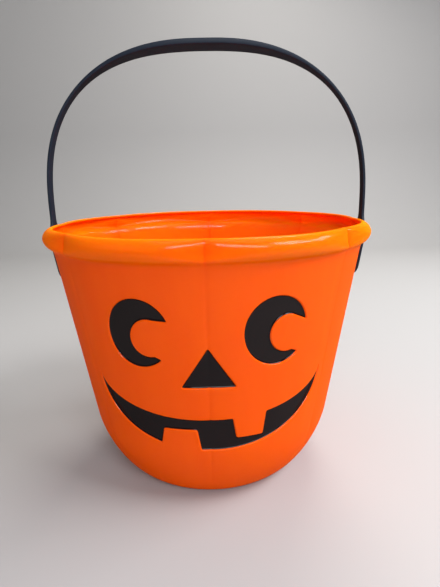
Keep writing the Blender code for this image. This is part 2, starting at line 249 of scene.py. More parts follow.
def around(radius, angle, height):
    """Points at these radii, angles from the front middle and heights, as rows of x, y and z."""
    angle, radius, height = np.broadcast_arrays(angle, radius, height)
    return np.stack([radius * np.sin(angle), -radius * np.cos(angle), height], axis=-1)


def outer_skin(angle, height, sunk):
    return around(wall_radius(height) - valley_at(angle, height) - sunk, angle, height)


def inner_skin(angle, height, sunk):
    across, up = wall_normal(height)
    radius = wall_radius(height) - WALL * across - valley_at(angle, height) - sunk
    return around(radius, angle, height - WALL * up)


# Pail rows, from the middle of the base up the outside, over the lip and down the inside


def foot_heights():
    turns = np.linspace(math.pi / 2, 0, FOOT_ROWS + 1)
    return TURN_HEIGHT * (1 - np.sin(turns) ** TURN_FULLNESS)


def band_points():
    """The rim's outer skin, with the neck under it eased into a fillet."""
    share = (1 - np.cos(np.linspace(0, math.pi, BAND_ROWS + 1))) / 2
    swell = RIM_SWELL * np.clip(np.sin(math.pi * share), 0, 1) ** RIM_FULLNESS
    return np.stack([NECK_RADIUS + swell, NECK_HEIGHT + RIM_BAND * share], axis=-1)


def square_to(points):
    """Outward directions of a line of (radius, height) points that runs up the outside."""
    steps = np.diff(points, axis=0)
    steps /= np.linalg.norm(steps, axis=1)[:, None]
    along = np.vstack([steps[:1], steps[:-1] + steps[1:], steps[-1:]])
    along /= np.linalg.norm(along, axis=1)[:, None]
    return np.stack([along[:, 1], -along[:, 0]], axis=-1)


def pail_rows():
    """Every row's (radius, height), the outer height that sets its valleys, and how many are outer rows."""
    low = foot_heights()
    high = np.linspace(TURN_HEIGHT, NECK_HEIGHT, TAPER_ROWS + 1)[1:]
    plain = np.concatenate([low, high])
    wall = np.stack([wall_radius(plain), plain], axis=-1)
    base = [(BASE_RADIUS * share / BASE_ROWS, 0.0) for share in range(1, BASE_ROWS)]
    outer = np.vstack([base, wall, band_points()[1:]])
    levels = outer[:, 1].copy()
    neck = BASE_ROWS - 1 + len(plain) - 1
    start, end = neck - EASED_BELOW, neck + EASED_ABOVE
    for _ in range(EASE_PASSES):
        before, after = outer[start - 1 : end - 1], outer[start + 1 : end + 1]
        outer[start:end] = (before + 2 * outer[start:end] + after) / 4
    normals = square_to(outer)
    normals[: BASE_ROWS] = (0.0, -1.0)
    walled = slice(BASE_ROWS, start - 2)
    normals[walled] = np.stack(wall_normal(levels[walled]), axis=-1)
    normals[-1] = (0.0, 1.0)
    inner = outer - WALL * normals
    inner[: BASE_ROWS, 1] = WALL
    lip = []
    for number in range(1, LIP_ROWS):
        turn = math.pi / 2 + math.pi * number / LIP_ROWS
        across, up = WALL / 2 * math.cos(turn), WALL / 2 * math.sin(turn)
        lip.append((NECK_RADIUS + across, RIM_TOP - WALL / 2 + up))
    rows = np.vstack([outer, lip, inner[::-1]])
    all_levels = np.concatenate([levels, [RIM_TOP] * len(lip), levels[::-1]])
    return rows, all_levels, len(outer)


def column_angles():
    even = math.tau * np.arange(COLUMNS) / COLUMNS
    return angle_of(even - VALLEY_CROWDING * np.sin(LOBES * even) / LOBES)


# Face outlines, anticlockwise, as (distance round the wall, height)


def arc_points(centre, half_width, half_height, start, end):
    steps = math.ceil(abs(end - start) * max(half_width, half_height) / OUTLINE_PITCH)
    for angle in np.linspace(start, end, steps + 1):
        yield centre[0] + half_width * math.cos(angle), centre[1] + half_height * math.sin(angle)


def eye_outline(place, horn_angle):
    """A crescent that opens to the right: the outer oval, then back round the bite."""
    bite = (place + EYE_BITE_SHIFT, EYE_LEVEL - EYE_BITE_DROP)
    low_horn = LOWER_HORN_ANGLE + math.tau
    oval = arc_points((place, EYE_LEVEL), EYE_WIDTH / 2, EYE_HEIGHT / 2, horn_angle, low_horn)
    back = arc_points(bite, EYE_BITE_RADIUS, EYE_BITE_RADIUS, BITE_LOWER_ANGLE, BITE_UPPER_ANGLE)
    return list(oval) + list(back)


def nose_outline():
    return [(-NOSE_WIDTH / 2, NOSE_LEVEL), (NOSE_WIDTH / 2, NOSE_LEVEL), (0.0, NOSE_LEVEL + NOSE_HEIGHT)]


def lip_height(place, sag):
    share = min(1.0, abs(2 * place / MOUTH_WIDTH))
    return MOUTH_LEVEL - sag * math.sqrt(1 - share * share)


def lip_stretch(start, end, sag):
    """Points along a lip, a hanging half oval, even in the oval's own angle."""
    first = math.asin(min(1.0, max(-1.0, 2 * start / MOUTH_WIDTH)))
    last = math.asin(min(1.0, max(-1.0, 2 * end / MOUTH_WIDTH)))
    steps = math.ceil(abs(last - first) * MOUTH_WIDTH / 2 / OUTLINE_PITCH)
    for angle in np.linspace(first, last, steps + 1):
        place = MOUTH_WIDTH / 2 * math.sin(angle)
        yield place, lip_height(place, sag)


def mouth_outline():
    """Right along the lower lip, over its tooth, and back left along the upper lip, round its tooth."""
    corner = MOUTH_WIDTH / 2
    low_left = LOWER_TOOTH_PLACE - LOWER_TOOTH_WIDTH / 2
    low_right = LOWER_TOOTH_PLACE + LOWER_TOOTH_WIDTH / 2
    low_top = lip_height(LOWER_TOOTH_PLACE, LOWER_LIP_SAG) + LOWER_TOOTH_HEIGHT
    high_left = UPPER_TOOTH_PLACE - UPPER_TOOTH_WIDTH / 2
    high_right = UPPER_TOOTH_PLACE + UPPER_TOOTH_WIDTH / 2
    high_end = lip_height(UPPER_TOOTH_PLACE, UPPER_LIP_SAG) - UPPER_TOOTH_HEIGHT
    points = list(lip_stretch(-corner, low_left, LOWER_LIP_SAG))
    points += [(low_left + TOOTH_TAPER, low_top), (low_right - TOOTH_TAPER, low_top)]
    points += list(lip_stretch(low_right, corner, LOWER_LIP_SAG))
    points += list(lip_stretch(corner, high_right, UPPER_LIP_SAG))[1:]
    points += [(high_right - TOOTH_TAPER, high_end), (high_left + TOOTH_TAPER, high_end)]
    points += list(lip_stretch(high_left, -corner, UPPER_LIP_SAG))[:-1]
    return points


def rounded(outline, radius):
    """The closed outline with each sharp corner taken off along a small curve."""
    points = [Vector(point) for point in outline]
    made = []
    for index, here in enumerate(points):
        before = points[index - 1] - here
        after = points[(index + 1) % len(points)] - here
        if abs(before.angle_signed(-after)) < SHARP_CORNER:
            made.append(here)
            continue
        start = here + before.normalized() * min(radius, before.length * CORNER_SHARE)
        end = here + after.normalized() * min(radius, after.length * CORNER_SHARE)
        for share in (0.0, 0.25, 0.5, 0.75, 1.0):
            made.append(start.lerp(here, share).lerp(here.lerp(end, share), share))
    return made


def even_pitch(outline):
    """The closed outline with its long straight runs cut into short ones."""
    made = []
    for index, here in enumerate(outline):
        after = outline[(index + 1) % len(outline)]
        cuts = max(1, round((after - here).length / OUTLINE_PITCH))
        made += [here.lerp(after, cut / cuts) for cut in range(cuts)]
    return np.array([tuple(point) for point in made])


def face_outlines():
    outlines = {
        "left_eye": eye_outline(-EYE_SPREAD, LEFT_HORN_ANGLE),
        "right_eye": eye_outline(EYE_SPREAD, RIGHT_HORN_ANGLE),
        "nose": nose_outline(),
        "mouth": mouth_outline(),
    }
    return {name: even_pitch(rounded(outline, CORNER_ROUND)) for name, outline in outlines.items()}


def signed_distance(points, outline):
    """Distance of each point from the closed outline, negative inside it."""
    start, end = outline, np.roll(outline, -1, axis=0)
    run = end - start
    offset = points[:, None, :] - start[None]
    share = np.clip((offset * run).sum(-1) / (run * run).sum(-1), 0, 1)
    nearest = np.linalg.norm(offset - share[..., None] * run, axis=-1).min(axis=1)
    above = (start[:, 1] > points[:, None, 1]) != (end[:, 1] > points[:, None, 1])
    rise = np.where(run[:, 1] == 0, 1.0, run[:, 1])
    crossing = start[:, 0] + (points[:, None, 1] - start[:, 1]) * run[:, 0] / rise
    inside = (above & (points[:, None, 0] < crossing)).sum(axis=1) % 2 == 1
    return np.where(inside, -nearest, nearest)


def nearest_distance(points, outlines):
    return np.min([signed_distance(points, outline) for outline in outlines], axis=0)


def ring_points(outline, others, distance):
    """Points at this distance outside the outline, or inside if negative, without those that fold over."""
    into = outline - np.roll(outline, 1, axis=0)
    out = np.roll(outline, -1, axis=0) - outline
    side = into / np.linalg.norm(into, axis=1)[:, None] + out / np.linalg.norm(out, axis=1)[:, None]
    side /= np.linalg.norm(side, axis=1)[:, None]
    moved = outline + distance * np.stack([side[:, 1], -side[:, 0]], axis=-1)
    clear = np.abs(nearest_distance(moved, others) - distance) < RING_SLACK * MM
    return moved[clear]


# Pail mesh


class Pail:
    """The pail's mesh while it is built: points, faces, and the numbers of each row's points."""

    def __init__(self):
        rows, levels, self.outer_count = pail_rows()
        self.angles = column_angles()
        self.row_heights = levels[: self.outer_count]
        radii = rows[:, 0][:, None] - valley_at(self.angles[None, :], levels[:, None])
        grid = around(radii, self.angles[None, :], rows[:, 1][:, None])
        self.points = [grid.reshape(-1, 3)]
        self.count = len(self.points[0])
        self.row_count = len(rows)
        self.taken = np.zeros((self.row_count - 1, COLUMNS), bool)
        self.faces = []

    def number(self, row, column):
        return row * COLUMNS + column % COLUMNS

    def inner_row(self, row):
        return self.row_count - 1 - row

    def add_points(self, points):
        numbers = np.arange(self.count, self.count + len(points))
        self.points.append(points)
        self.count += len(points)
        return numbers

    def stitch(self, patch, outer_sunk, inner_sunk, keep):
        """Puts the patch's triangles that are kept into both skins, in place of the grid's faces."""
        outer = self.add_points(outer_skin(patch.angle, patch.height, outer_sunk))
        inner = self.add_points(inner_skin(patch.angle, patch.height, inner_sunk))
        for index, (row, column) in patch.shared.items():
            outer[index] = self.number(row, column)
            inner[index] = self.number(self.inner_row(row), column)
        kept = patch.triangles[keep]
        self.faces += outer[kept].tolist()
        self.faces += inner[kept][:, ::-1].tolist()
        for column in patch.columns[:-1]:
            self.taken[patch.first : patch.last, column % COLUMNS] = True
            self.taken[self.inner_row(patch.last) : self.inner_row(patch.first), column % COLUMNS] = True
        return outer, inner

    def close(self):
        """The grid's own faces, and the two discs in the middle of the base and of the floor."""
        for row in range(self.row_count - 1):
            for column in range(COLUMNS):
                if not self.taken[row, column]:
                    here, after = self.number(row, column), self.number(row, column + 1)
                    above, beyond = self.number(row + 1, column), self.number(row + 1, column + 1)
                    self.faces.append([here, after, beyond, above])
        for row, height, turned in ((0, 0.0, True), (self.row_count - 1, WALL, False)):
            middle = int(self.add_points(np.array([[0.0, 0.0, height]]))[0])
            for column in range(COLUMNS):
                pair = [self.number(row, column), self.number(row, column + 1)]
                self.faces.append([middle, *(reversed(pair) if turned else pair)])


class Patch:
    """A window of the pail's wall, triangulated finely round its outlines.

    The points on the window's own edge are the grid's. All the others are new.
    """

    def __init__(self, pail, middle, half_columns, low, high, outlines, rings):
        heights = pail.row_heights
        self.first = next(row for row in range(BASE_ROWS, pail.outer_count) if heights[row] >= low)
        self.last = next(row for row in range(self.first, pail.outer_count) if heights[row] >= high)
        self.columns = np.arange(middle - half_columns, middle + half_columns + 1)
        spread = np.meshgrid(np.arange(self.first, self.last + 1), self.columns, indexing="ij")
        row, column = (numbers.ravel() for numbers in spread)
        centre = pail.angles[middle % COLUMNS]
        turn = (pail.angles[column % COLUMNS] - centre + math.pi) % math.tau - math.pi
        places = np.stack([turn * wall_radius(heights[row]), heights[row]], axis=-1)
        shapes = list(outlines.values())
        away = nearest_distance(places, shapes)
        edge = np.isin(row, (self.first, self.last)) | np.isin(column, self.columns[[0, -1]])
        outside = away > (max(rings) + CLEAR_OUTSIDE) * MM
        deep_inside = away < (min(0.0, min(rings)) - CLEAR_INSIDE) * MM
        clear = outside | deep_inside
        from_valley = (column + LOBE_COLUMNS // 2) % LOBE_COLUMNS - LOBE_COLUMNS // 2
        crease = (np.abs(from_valley) <= CREASE_COLUMNS) & (np.abs(away) > CREASE_CLEAR * MM)
        kept = np.flatnonzero(edge | clear | crease)
        chosen, lines, count = [places[kept]], [], len(kept)
        for outline in shapes:
            chosen.append(outline)
            lines += [(count + i, count + (i + 1) % len(outline)) for i in range(len(outline))]
            count += len(outline)
        for outline in shapes:
            chosen += [ring_points(outline, shapes, ring * MM) for ring in rings]
        chosen = np.vstack(chosen)
        flat = np.stack([chosen[:, 0] / wall_radius(chosen[:, 1]) * NECK_RADIUS, chosen[:, 1]], axis=-1)
        found = delaunay_2d_cdt([Vector(point) for point in flat / MM], lines, [], 0, 1e-5)
        flat = np.array([tuple(point) for point in found[0]]) * MM
        self.triangles = np.array(found[2])
        self.height = flat[:, 1]
        turn = flat[:, 0] / NECK_RADIUS
        self.angle = turn + centre
        self.places = np.stack([turn * wall_radius(self.height), self.height], axis=-1)
        self.away = nearest_distance(self.places, shapes)
        self.shared = {}
        for index, origin in enumerate(found[3]):
            for number in origin:
                if number < len(kept) and edge[kept[number]]:
                    self.shared[index] = (row[kept[number]], column[kept[number]])

    def inside(self, outline):
        """Which triangles lie inside the outline."""
        return signed_distance(self.places[self.triangles].mean(axis=1), outline) < 0


def mesh_object(name, points, faces):
    """A smooth-shaded mesh of these points and faces, without points that no face uses."""
    used = sorted({number for face in faces for number in face})
    place = {number: index for index, number in enumerate(used)}
    mesh = bpy.data.meshes.new(name)
    mesh.from_pydata(np.asarray(points)[used].tolist(), [], [[place[n] for n in face] for face in faces])
    mesh.validate()
    mesh.shade_smooth()
    obj = bpy.data.objects.new(name, mesh)
    bpy.context.scene.collection.objects.link(obj)
    return obj


def open_edges(triangles):
    """The edges, as directed pairs, that only one of these triangles has."""
    pairs = np.concatenate([triangles[:, [0, 1]], triangles[:, [1, 2]], triangles[:, [2, 0]]])
    known = {(a, b) for a, b in pairs.tolist()}
    return [(a, b) for a, b in known if (b, a) not in known]


def enamel_coat(name, patch, inside):
    """A closed film of enamel over the sunk triangles, thin at its edge and full from FILM_EDGE in."""
    chosen = patch.triangles[inside]
    film = ENAMEL_EDGE + (ENAMEL_FILM - ENAMEL_EDGE) * smooth_step(-patch.away / FILM_EDGE)
    seat = outer_recess(patch.away) - ENAMEL_LIFT
    top = outer_skin(patch.angle, patch.height, seat - film)
    under = outer_skin(patch.angle, patch.height, seat)
    total = len(top)
    faces = chosen.tolist() + (chosen[:, ::-1] + total).tolist()
    faces += [[b, a, a + total, b + total] for a, b in open_edges(chosen)]
    return mesh_object(name, np.vstack([top, under]), faces)


def outer_recess(away):
    """How deep the face is sunk: a rounded brink outside the outline and a hollow fillet inside it."""
    brink = EDGE_DROP * (1 - np.clip(away / EDGE_OUT, 0, 1)) ** BRINK_POWER
    fillet = (1 - EDGE_DROP) * (1 - np.clip(1 + away / EDGE_IN, 0, 1) ** FILLET_POWER)
    return RECESS * (brink + fillet)


def inner_recess(away):
    return RECESS * smooth_step((BACK_OUT - away) / (BACK_OUT - BACK_IN))


def mark_crests(mesh):
    """Stores with each point whether it is on a lobe, 1, or down in a valley, 0."""
    places = np.empty(3 * len(mesh.vertices))
    mesh.vertices.foreach_get("co", places)
    x, y, _ = places.reshape(-1, 3).T
    # The pail's material uses this share to put its painted glow and sheen on the lobes only, so the valleys
    # stay darker.
    crest = np.abs(np.sin(LOBES * lobe_turn_at(np.arctan2(x, -y)) / 2)) ** CREST_SPREAD
    mesh.attributes.new("crest", "FLOAT", "POINT").data.foreach_set("value", crest)


def make_pail():
    """The pail and the four enamelled areas of its face."""
    pail = Pail()
    outlines = face_outlines()
    patch = Patch(pail, 0, FACE_HALF_COLUMNS, FACE_LOW, FACE_HIGH, outlines, FACE_RINGS)
    pail.stitch(patch, outer_recess(patch.away), inner_recess(patch.away), slice(None))
    coats = {}
    for name, outline in outlines.items():
        coats[name] = enamel_coat(name + "_enamel", patch, patch.inside(outline))
    for side in (1, 3):
        hole = STUD_RADIUS + STUD_GAP
        turns = np.linspace(0, math.tau, HOLE_SIDES + 1)[:-1]
        circle = np.stack([hole * np.cos(turns), PIVOT_HEIGHT + hole * np.sin(turns)], axis=-1)
        low, high = PIVOT_HEIGHT - HOLE_HALF_HEIGHT, PIVOT_HEIGHT + HOLE_HALF_HEIGHT
        patch = Patch(pail, side * COLUMNS // 4, HOLE_HALF_COLUMNS, low, high, {"hole": circle}, HOLE_RINGS)
        open_middle = patch.inside(circle)
        outer, inner = pail.stitch(patch, 0.0, 0.0, ~open_middle)
        for a, b in open_edges(patch.triangles[open_middle]):
            pail.faces.append([int(outer[a]), int(outer[b]), int(inner[b]), int(inner[a])])
    pail.close()
    moulding = mesh_object("moulded_pail", np.vstack(pail.points), pail.faces)
    mark_crests(moulding.data)
    return moulding, coats


# Strap


def paddle_place(height):
    """How far out the paddle's middle plane is at this height: below the rim it leans in like the wall."""
    return STRAP_SIDE - LEAN * (NECK_HEIGHT - height)


def strap_path():
    """Half of the strap's middle line, from the top of the arch to below the stud, as (x, z) points."""
    spring = PIVOT_HEIGHT + SHANK_LENGTH
    lowest = PIVOT_HEIGHT - PADDLE_WIDTH
    turns = np.linspace(math.pi / 2, 0, ARCH_STEPS + 1)
    x = STRAP_SIDE * np.clip(np.cos(turns), 0, 1) ** (2 / ARCH_SQUARENESS)
    z = spring + ARCH_RISE * np.clip(np.sin(turns), 0, 1) ** (2 / ARCH_SQUARENESS)
    return np.vstack([
        np.stack([x, z], axis=-1),
        (STRAP_SIDE, NECK_HEIGHT),
        (paddle_place(PIVOT_HEIGHT), PIVOT_HEIGHT),
        (paddle_place(lowest), lowest),
    ])


def strap_section(distance, pivot_distance):
    """Half width and half thickness at this distance from the top of the arch, and how far past the stud."""
    to_strap = smooth_step((distance - GRIP_PLAIN) / GRIP_TAPER)
    to_paddle = smooth_step((distance - pivot_distance + PADDLE_LENGTH) / SHOULDER_LENGTH + 1)
    width = GRIP_WIDTH + (STRAP_WIDTH - GRIP_WIDTH) * to_strap + (PADDLE_WIDTH - STRAP_WIDTH) * to_paddle
    thickness = GRIP_THICKNESS + (STRAP_THICKNESS - GRIP_THICKNESS) * to_strap
    past = max(0.0, distance - pivot_distance)
    return width / 2 * math.sqrt(max(0.0, 1 - (2 * past / PADDLE_WIDTH) ** 2)), thickness / 2, past


def strap_ring(distance, pivot_distance):
    """One section as (across, outward) points: flat faces with their edges rounded over."""
    half_width, half_thickness, past = strap_section(distance, pivot_distance)
    shrink = min(1.0, half_width / (1.5 * EDGE_ROUND))
    insets = [EDGE_ROUND * shrink * share for share in (0.0, 0.08, 0.3, 0.62, 1.0)]
    half = [half_width - inset for inset in insets] + [0.4 * (half_width - insets[-1])]
    across = [*half, *(-place for place in reversed(half))]
    made = []
    for place in across:
        inset = half_width - abs(place)
        if past > 0:
            inset = PADDLE_WIDTH / 2 - math.hypot(past, place)
        share = min(1.0, max(0.0, 1 - inset / EDGE_ROUND))
        made.append((place, half_thickness - EDGE_ROUND * (1 - math.sqrt(1 - share * share))))
    return made + [(place, -lift) for place, lift in reversed(made)]


def strap_mesh():
    path = strap_path()
    steps = np.linalg.norm(np.diff(path, axis=0), axis=1)
    lengths = np.concatenate([[0.0], np.cumsum(steps)])
    pivot_distance = lengths[-2]
    stations = np.linspace(0, pivot_distance, STRAP_STATIONS + 1)
    tip = pivot_distance + PADDLE_WIDTH / 2 * np.sin(np.linspace(0, math.pi / 2, TIP_STATIONS + 1)[1:])
    stations = np.concatenate([stations, tip])
    rings = []
    for side, places in ((-1, stations[:0:-1]), (1, stations)):
        for distance in places:
            x = np.interp(distance, lengths, path[:, 0])
            z = np.interp(distance, lengths, path[:, 1])
            ahead, behind = distance + RUN_STEP, max(0.0, distance - RUN_STEP)
            run = Vector((
                np.interp(ahead, lengths, path[:, 0]) - np.interp(behind, lengths, path[:, 0]),
                np.interp(ahead, lengths, path[:, 1]) - np.interp(behind, lengths, path[:, 1]),
            )).normalized()
            if distance == 0:
                run = Vector((1.0, 0.0))
            ring = strap_ring(distance, pivot_distance)
            rings.append([(side * (x - run.y * lift), across, z + run.x * lift) for across, lift in ring])
    return loft_object("strap_moulding", rings)


def loft_object(name, rings):
    size = len(rings[0])
    points = [point for ring in rings for point in ring]
    faces = []
    for row in range(len(rings) - 1):
        for place in range(size):
            after = (place + 1) % size
            near, far = row * size, (row + 1) * size
            faces.append([near + place, near + after, far + after, far + place])
    faces.append(list(range(size))[::-1])
    faces.append([(len(rings) - 1) * size + place for place in range(size)])
    return mesh_object(name, points, faces)


def stud_profile():
    """Boss, neck and snap head of one stud, as (distance from the centre plane, radius)."""
    seat = math.pi / 2 + STUD_BOSS_RADIUS / NECK_RADIUS * np.linspace(-1, 1, 5)
    top = PIVOT_HEIGHT + STUD_BOSS_RADIUS
    boss_face = float((wall_radius(top) - valley_at(seat, top)).max()) + STUD_GAP
    bottom = PIVOT_HEIGHT - STUD_HEAD_RADIUS
    deepest = float(valley_at(math.pi / 2, bottom))
    head_face = float(wall_radius(bottom)) - deepest - WALL - STUD_GAP
    tip = head_face - STUD_HEAD_LENGTH
    profile = [
        (paddle_place(PIVOT_HEIGHT), STUD_BOSS_RADIUS),
        (boss_face + STUD_EASE, STUD_BOSS_RADIUS),
        (boss_face, STUD_BOSS_RADIUS - STUD_EASE),
        (boss_face, STUD_RADIUS),
        (head_face, STUD_RADIUS),
        (head_face, STUD_HEAD_RADIUS - STUD_EASE / 2),
        (head_face - STUD_EASE / 2, STUD_HEAD_RADIUS),
        (tip + STUD_TIP_LENGTH, STUD_HEAD_RADIUS),
    ]
    for turn in np.linspace(0, math.pi / 2, STUD_TIP_ROWS + 1)[1:]:
        drop = STUD_TIP_LENGTH * math.sin(turn)
        radius = STUD_TIP_RADIUS + (STUD_HEAD_RADIUS - STUD_TIP_RADIUS) * math.cos(turn)
        profile.append((tip + STUD_TIP_LENGTH - drop, radius))
    return profile


def stud_object(side):
    turns = np.linspace(0, math.tau, STUD_SIDES + 1)[:-1]
    rings = []
    for distance, radius in stud_profile():
        y, z = radius * np.cos(turns), PIVOT_HEIGHT + radius * np.sin(turns)
        rings.append([(side * distance, a, b) for a, b in zip(y, z)])
    return loft_object("stud", rings)


def make_strap():
    """The strap with its two studs, joined into one closed moulding."""
    strap = strap_mesh()
    studs = [stud_object(side) for side in (-1, 1)]
    for obj in (strap, *studs):
        face_out(obj)
    for stud in studs:
        joined = strap.modifiers.new("stud", "BOOLEAN")
        joined.operation = "UNION"
        joined.solver = "EXACT"
        joined.object = stud
    bpy.context.view_layer.update()
    graph = bpy.context.evaluated_depsgraph_get()
    mesh = bpy.data.meshes.new_from_object(strap.evaluated_get(graph))
    strap.modifiers.clear()
    strap.data = mesh
    mesh.shade_smooth()
    mesh.set_sharp_from_angle(angle=SHARP_EDGE)
    for stud in studs:
        bpy.data.objects.remove(stud)
    return strap


def face_out(obj):
    """Turns the faces of a closed mesh outwards."""
    corners = np.array([tuple(v.co) for v in obj.data.vertices])
    obj.data.calc_loop_triangles()
    triangles = np.array([tuple(t.vertices) for t in obj.data.loop_triangles])
    a, b, c = (corners[triangles[:, k]] for k in range(3))
    if np.einsum("ij,ij->i", a, np.cross(b, c)).sum() < 0:
        obj.data.flip_normals()


# Materials


def linear(code):
    """The linear colour of an sRGB hex value."""
    shares = [int(code[start : start + 2], 16) / 255 for start in (1, 3, 5)]
    return (*(s / 12.92 if s <= 0.04045 else ((s + 0.055) / 1.055) ** 2.4 for s in shares), 1.0)


def add(tree, kind, inputs, **settings):
    """Adds a node with its settings, and gives each named input a value or a link from an output."""
    node = tree.nodes.new(kind)
    for name, value in settings.items():
        setattr(node, name, value)
    for name, value in inputs.items():
        if isinstance(value, bpy.types.NodeSocket):
            tree.links.new(value, node.inputs[name])
        else:
            node.inputs[name].default_value = value
    return node


def new_material(name):
    made = bpy.data.materials.new(name)
    made.use_nodes = True
    return made, made.node_tree, made.node_tree.nodes["Principled BSDF"]


def injection_moulded_polypropylene():
    """Polypropylene, injection moulded in a polished tool and coloured in the mass.

    The eye sees a deep orange with faint flow streaks, more translucent at the rim and on the inside, small
    bright lights on it, very fine ripple from the tool, and dull scuffs where the foot stands. On the lobes
    of the rim and the inside the base colour is painted yellower, a painted glow of light through the wall
    and a painted sheen; the valleys are left darker.
    All the gloss is in a thin coat of high index, because plain gloss turns the pail's sides white.
    """
    made, tree, shader = new_material("injection_moulded_polypropylene")
    place = add(tree, "ShaderNodeTexCoord", {}).outputs["Object"]
    drawn = add(tree, "ShaderNodeMapping", {"Vector": place, "Scale": (1.0, 1.0, 0.22)})
    streak_mm, ripple_mm, cloud_mm, scuff_mm = 14, 2.2, 30, 1.1
    streaks = add(
        tree,
        "ShaderNodeTexNoise",
        {"Vector": drawn.outputs["Vector"], "Scale": 1000 / streak_mm, "Detail": 4.0, "Distortion": 0.6},
    )
    pigment = add(
        tree,
        "ShaderNodeMix",
        {"Factor": streaks.outputs["Fac"], 6: linear("#F04F02"), 7: linear("#F65A03")},
        data_type="RGBA",
    )
    height = add(tree, "ShaderNodeSeparateXYZ", {"Vector": place}).outputs["Z"]
    rim = add(
        tree,
        "ShaderNodeMapRange",
        {"Value": height, "From Min": NECK_HEIGHT - 0.002, "From Max": NECK_HEIGHT + 0.002},
    )
    level = add(tree, "ShaderNodeVectorMath", {0: place, 1: (1.0, 1.0, 0.0)}, operation="MULTIPLY")
    facing = add(tree, "ShaderNodeNewGeometry", {}).outputs["Normal"]
    outward = add(
        tree, "ShaderNodeVectorMath", {0: facing, 1: level.outputs["Vector"]}, operation="DOT_PRODUCT"
    )
    inside = add(
        tree, "ShaderNodeMapRange", {"Value": outward.outputs["Value"], "From Min": 0.0, "From Max": -0.03}
    )
    # The rim and the inside: made more translucent, and given a painted glow in their base colour.
    translucent_and_painted_glow = add(
        tree,
        "ShaderNodeMath",
        {0: rim.outputs["Result"], 1: inside.outputs["Result"]},
        operation="MAXIMUM",
    )
    crest = add(tree, "ShaderNodeAttribute", {}, attribute_name="crest").outputs["Fac"]
    painted_glow_on_crests = add(
        tree, "ShaderNodeMath", {0: translucent_and_painted_glow.outputs["Value"], 1: crest}, operation="MULTIPLY"
    )
    # Painted glow and sheen: the lobes of the rim and the inside get a yellower base colour, and the valleys
    # stay darker.
    painted_glow = add(
        tree,
        "ShaderNodeMix",
        {"Factor": painted_glow_on_crests.outputs["Value"], 6: pigment.outputs[2], 7: linear("#EC6604")},
        data_type="RGBA",
    )
    tree.links.new(painted_glow.outputs[2], shader.inputs["Base Color"])
    clouds = add(tree, "ShaderNodeTexNoise", {"Vector": place, "Scale": 1000 / cloud_mm, "Detail": 3.0})
    gloss = add(
        tree,
        "ShaderNodeMapRange",
        {"Value": clouds.outputs["Fac"], "From Min": 0.3, "From Max": 0.7, "To Min": 0.07, "To Max": 0.13},
    )
    scuffs = add(
        tree,
        "ShaderNodeTexNoise",
        {"Vector": drawn.outputs["Vector"], "Scale": 1000 / scuff_mm, "Detail": 6.0, "Roughness": 0.7},
    )
    foot = add(
        tree, "ShaderNodeMapRange", {"Value": height, "From Min": 0.009, "From Max": 0.0, "To Max": 0.5}
    )
    scuffed = add(
        tree,
        "ShaderNodeMath",
        {0: scuffs.outputs["Fac"], 1: foot.outputs["Result"], 2: gloss.outputs["Result"]},
        operation="MULTIPLY_ADD",
    )
    tree.links.new(scuffed.outputs["Value"], shader.inputs["Coat Roughness"])
    ripple = add(
        tree, "ShaderNodeTexNoise", {"Vector": place, "Scale": 1000 / ripple_mm, "Detail": 2.0}
    )
    bump = add(
        tree, "ShaderNodeBump", {"Height": ripple.outputs["Fac"], "Strength": 0.12, "Distance": 0.0001}
    )
    tree.links.new(bump.outputs["Normal"], shader.inputs["Normal"])
    spread = add(
        tree, "ShaderNodeMapRange", {"Value": translucent_and_painted_glow.outputs["Value"], "To Min": 0.2, "To Max": 0.85}
    )
    tree.links.new(spread.outputs["Result"], shader.inputs["Subsurface Weight"])
    shader.inputs["Subsurface Radius"].default_value = (1.0, 0.8, 0.1)
    shader.inputs["Subsurface Scale"].default_value = 0.005
    shader.inputs["Specular IOR Level"].default_value = 0.0
    shader.inputs["Coat Weight"].default_value = 0.065
    shader.inputs["Coat IOR"].default_value = 2.5
    return made


def gloss_enamel():
    """Black gloss enamel, sprayed through a mask into the sunk face.

    The eye sees near-black with a warm cast, wet-looking lights along the sunk edges, a slight orange peel
    and a thinner film in places.
    """
    made, tree, shader = new_material("sprayed_gloss_enamel")
    place = add(tree, "ShaderNodeTexCoord", {}).outputs["Object"]
    film_mm, peel_mm = 9, 1.6
    film = add(tree, "ShaderNodeTexNoise", {"Vector": place, "Scale": 1000 / film_mm, "Detail": 4.0})
    colour = add(
        tree,
        "ShaderNodeMix",
        {"Factor": film.outputs["Fac"], 6: linear("#0C0304"), 7: linear("#130607")},
        data_type="RGBA",
    )
    tree.links.new(colour.outputs[2], shader.inputs["Base Color"])
    gloss = add(
        tree,
        "ShaderNodeMapRange",
        {"Value": film.outputs["Fac"], "From Min": 0.3, "From Max": 0.7, "To Min": 0.07, "To Max": 0.13},
    )
    tree.links.new(gloss.outputs["Result"], shader.inputs["Coat Roughness"])
    peel = add(tree, "ShaderNodeTexNoise", {"Vector": place, "Scale": 1000 / peel_mm, "Detail": 2.0})
    bump = add(
        tree, "ShaderNodeBump", {"Height": peel.outputs["Fac"], "Strength": 0.25, "Distance": 0.0001}
    )
    tree.links.new(bump.outputs["Normal"], shader.inputs["Normal"])
    shader.inputs["Specular IOR Level"].default_value = 0.0
    shader.inputs["Coat Weight"].default_value = 0.11
    shader.inputs["Coat IOR"].default_value = 2.5
    return made


